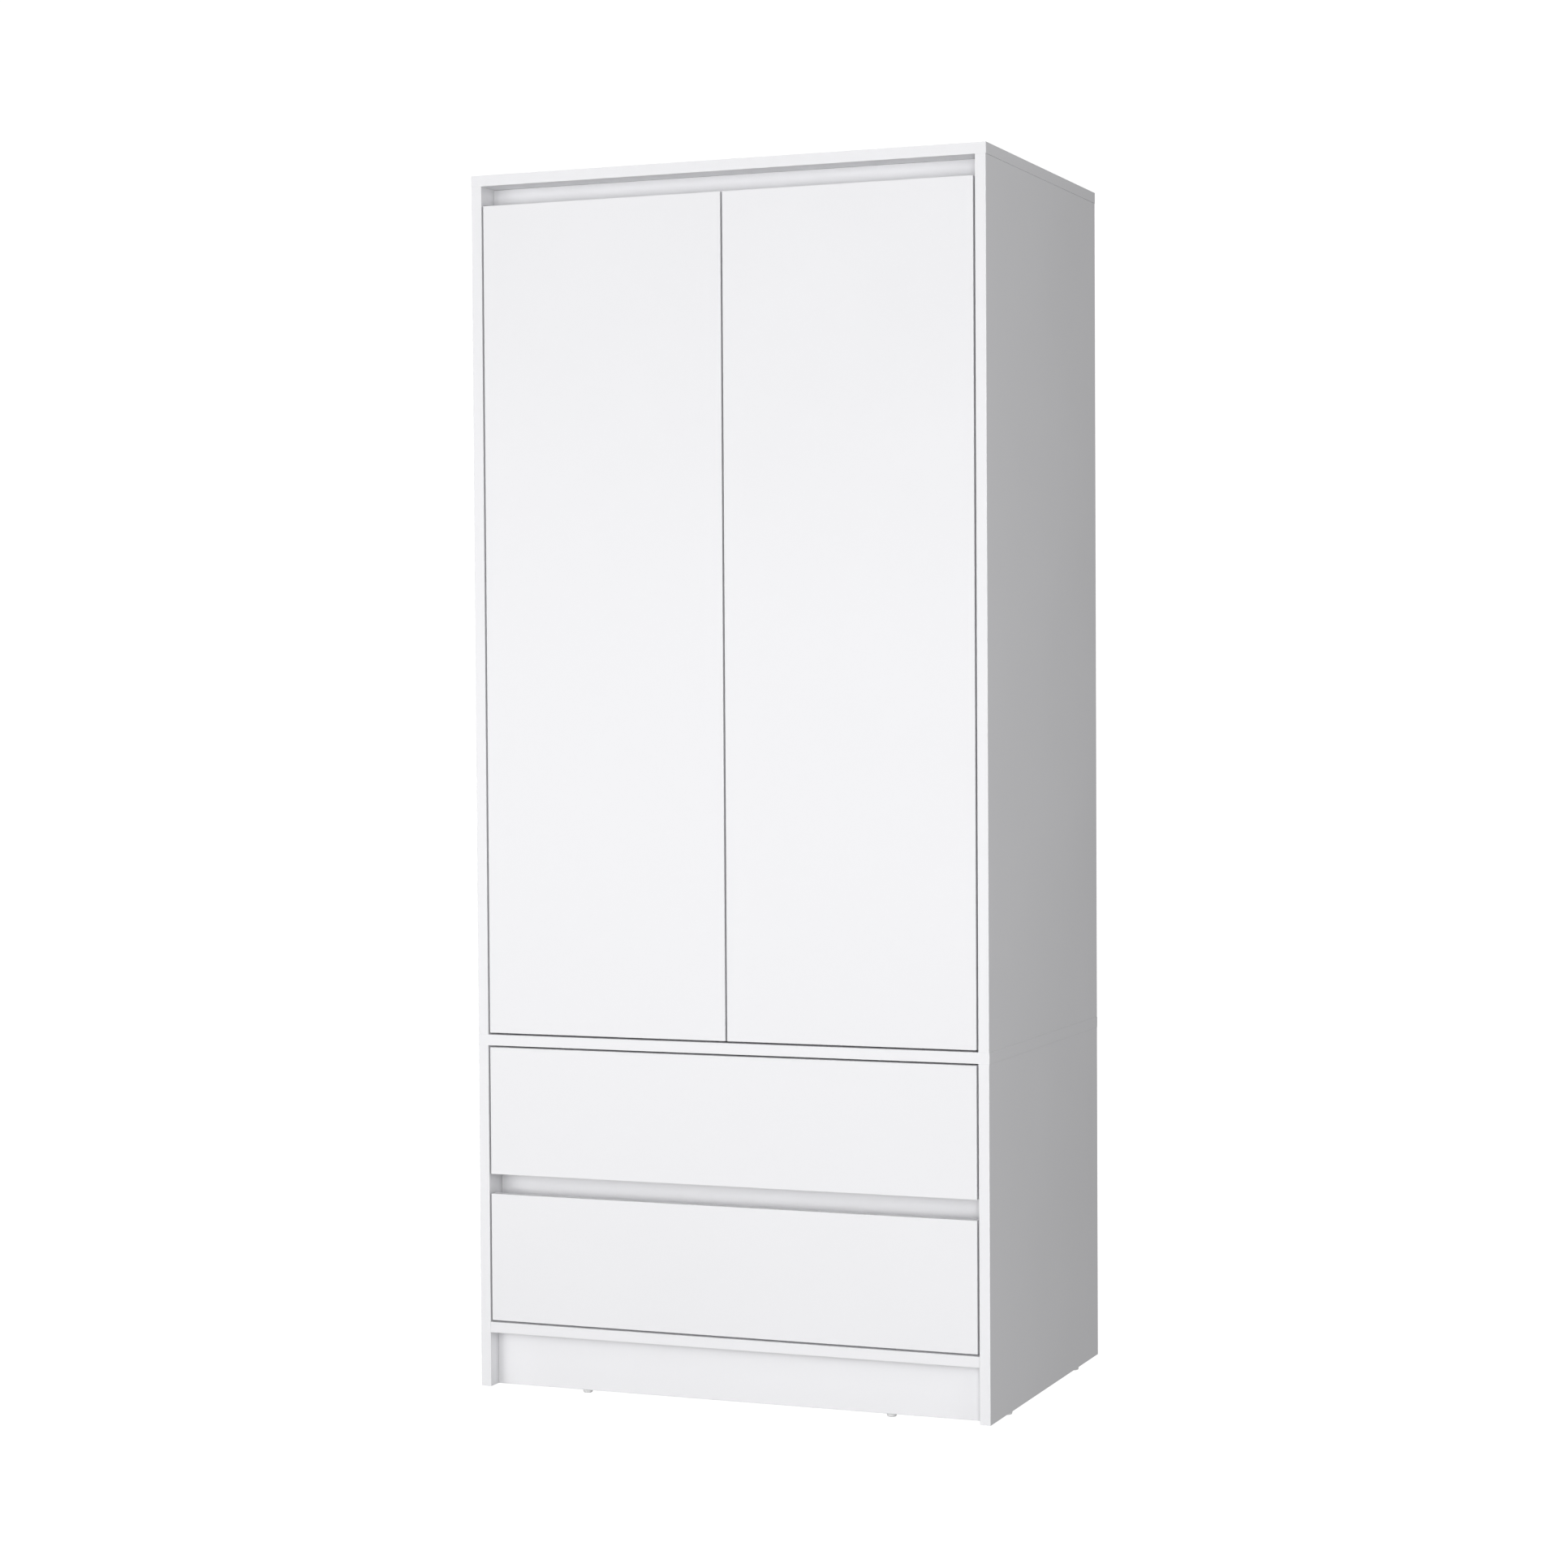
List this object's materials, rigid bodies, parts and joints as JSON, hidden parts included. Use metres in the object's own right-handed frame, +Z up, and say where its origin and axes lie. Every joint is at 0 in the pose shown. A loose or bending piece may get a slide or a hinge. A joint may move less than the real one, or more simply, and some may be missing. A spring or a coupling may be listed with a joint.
{
  "type": "wardrobe with doors",
  "caption": "Tall white wardrobe: inset doors on concealed hinges over finger-pull drawers, with a hanging rail and a hat shelf inside.",
  "frame": {"origin": "centre of the footprint, on the floor under the glides", "axes": "+Z up; the doors and drawers face -Y; +X is to the right seen from the front"},
  "size_m": [0.8, 0.54, 1.805],
  "materials": {
    "front_melamine": "smooth white melamine board, satin, white edge banding",
    "carcass_melamine": "smooth white melamine board, satin, white edge banding",
    "drawer_board": "white foil-wrapped board, low sheen",
    "hardboard_white": "thin hardboard, white lacquer inside",
    "zinc_steel": "zinc-plated pressed steel",
    "chrome_tube": "bright plated tube",
    "white_plastic": "moulded white plastic"
  },
  "bodies": {
    "carcass": {"side_panel_left_lower": "carcass_melamine", "side_panel_right_lower": "carcass_melamine", "side_panel_left_upper": "carcass_melamine", "side_panel_right_upper": "carcass_melamine", "top_panel": "carcass_melamine", "mid_panel": "carcass_melamine", "bottom_panel": "carcass_melamine", "hat_shelf": "carcass_melamine", "kick_board": "carcass_melamine", "top_rail": "carcass_melamine", "drawer_rail": "carcass_melamine", "back_panel_lower": "hardboard_white", "back_panel_upper": "hardboard_white", "glide_left_front": "white_plastic", "glide_left_rear": "white_plastic", "glide_right_front": "white_plastic", "glide_right_rear": "white_plastic", "glide_kick_left": "white_plastic", "glide_kick_right": "white_plastic", "hanging_rail": "chrome_tube", "rail_socket_left": "zinc_steel", "rail_socket_right": "zinc_steel", "hinge_arm_left_low": "zinc_steel", "hinge_plate_left_low": "zinc_steel", "hinge_arm_left_mid": "zinc_steel", "hinge_plate_left_mid": "zinc_steel", "hinge_arm_left_high": "zinc_steel", "hinge_plate_left_high": "zinc_steel", "hinge_arm_right_low": "zinc_steel", "hinge_plate_right_low": "zinc_steel", "hinge_arm_right_mid": "zinc_steel", "hinge_plate_right_mid": "zinc_steel", "hinge_arm_right_high": "zinc_steel", "hinge_plate_right_high": "zinc_steel", "slide_channel_lower_left": "zinc_steel", "slide_channel_lower_right": "zinc_steel", "slide_channel_upper_left": "zinc_steel", "slide_channel_upper_right": "zinc_steel"},
    "door_left": {"door_left": "front_melamine", "hinge_cup_left_low": "zinc_steel", "hinge_cup_left_mid": "zinc_steel", "hinge_cup_left_high": "zinc_steel"},
    "door_right": {"door_right": "front_melamine", "hinge_cup_right_low": "zinc_steel", "hinge_cup_right_mid": "zinc_steel", "hinge_cup_right_high": "zinc_steel"},
    "drawer_upper": {"drawer_upper_front": "front_melamine", "drawer_upper_side_left": "drawer_board", "drawer_upper_side_right": "drawer_board", "drawer_upper_back": "drawer_board", "drawer_upper_bottom": "hardboard_white", "slide_runner_upper_left": "zinc_steel", "slide_runner_upper_right": "zinc_steel"},
    "drawer_lower": {"drawer_lower_front": "front_melamine", "drawer_lower_side_left": "drawer_board", "drawer_lower_side_right": "drawer_board", "drawer_lower_back": "drawer_board", "drawer_lower_bottom": "hardboard_white", "slide_runner_lower_left": "zinc_steel", "slide_runner_lower_right": "zinc_steel"}
  },
  "joints": [
    {"name": "door_left_hinge", "type": "hinge", "parent": "carcass", "child": "door_left", "pos_m": [-0.37405, -0.2645, 1.14725], "axis": [0, 0, -1], "range_deg": [0, 100]},
    {"name": "door_right_hinge", "type": "hinge", "parent": "carcass", "child": "door_right", "pos_m": [0.37405, -0.2645, 1.14725], "axis": [0, 0, 1], "range_deg": [0, 100]},
    {"name": "drawer_upper_slide", "type": "slide", "parent": "carcass", "child": "drawer_upper", "axis": [0, -1, 0], "range_m": [0, 0.33]},
    {"name": "drawer_lower_slide", "type": "slide", "parent": "carcass", "child": "drawer_lower", "axis": [0, -1, 0], "range_m": [0, 0.33]}
  ]
}
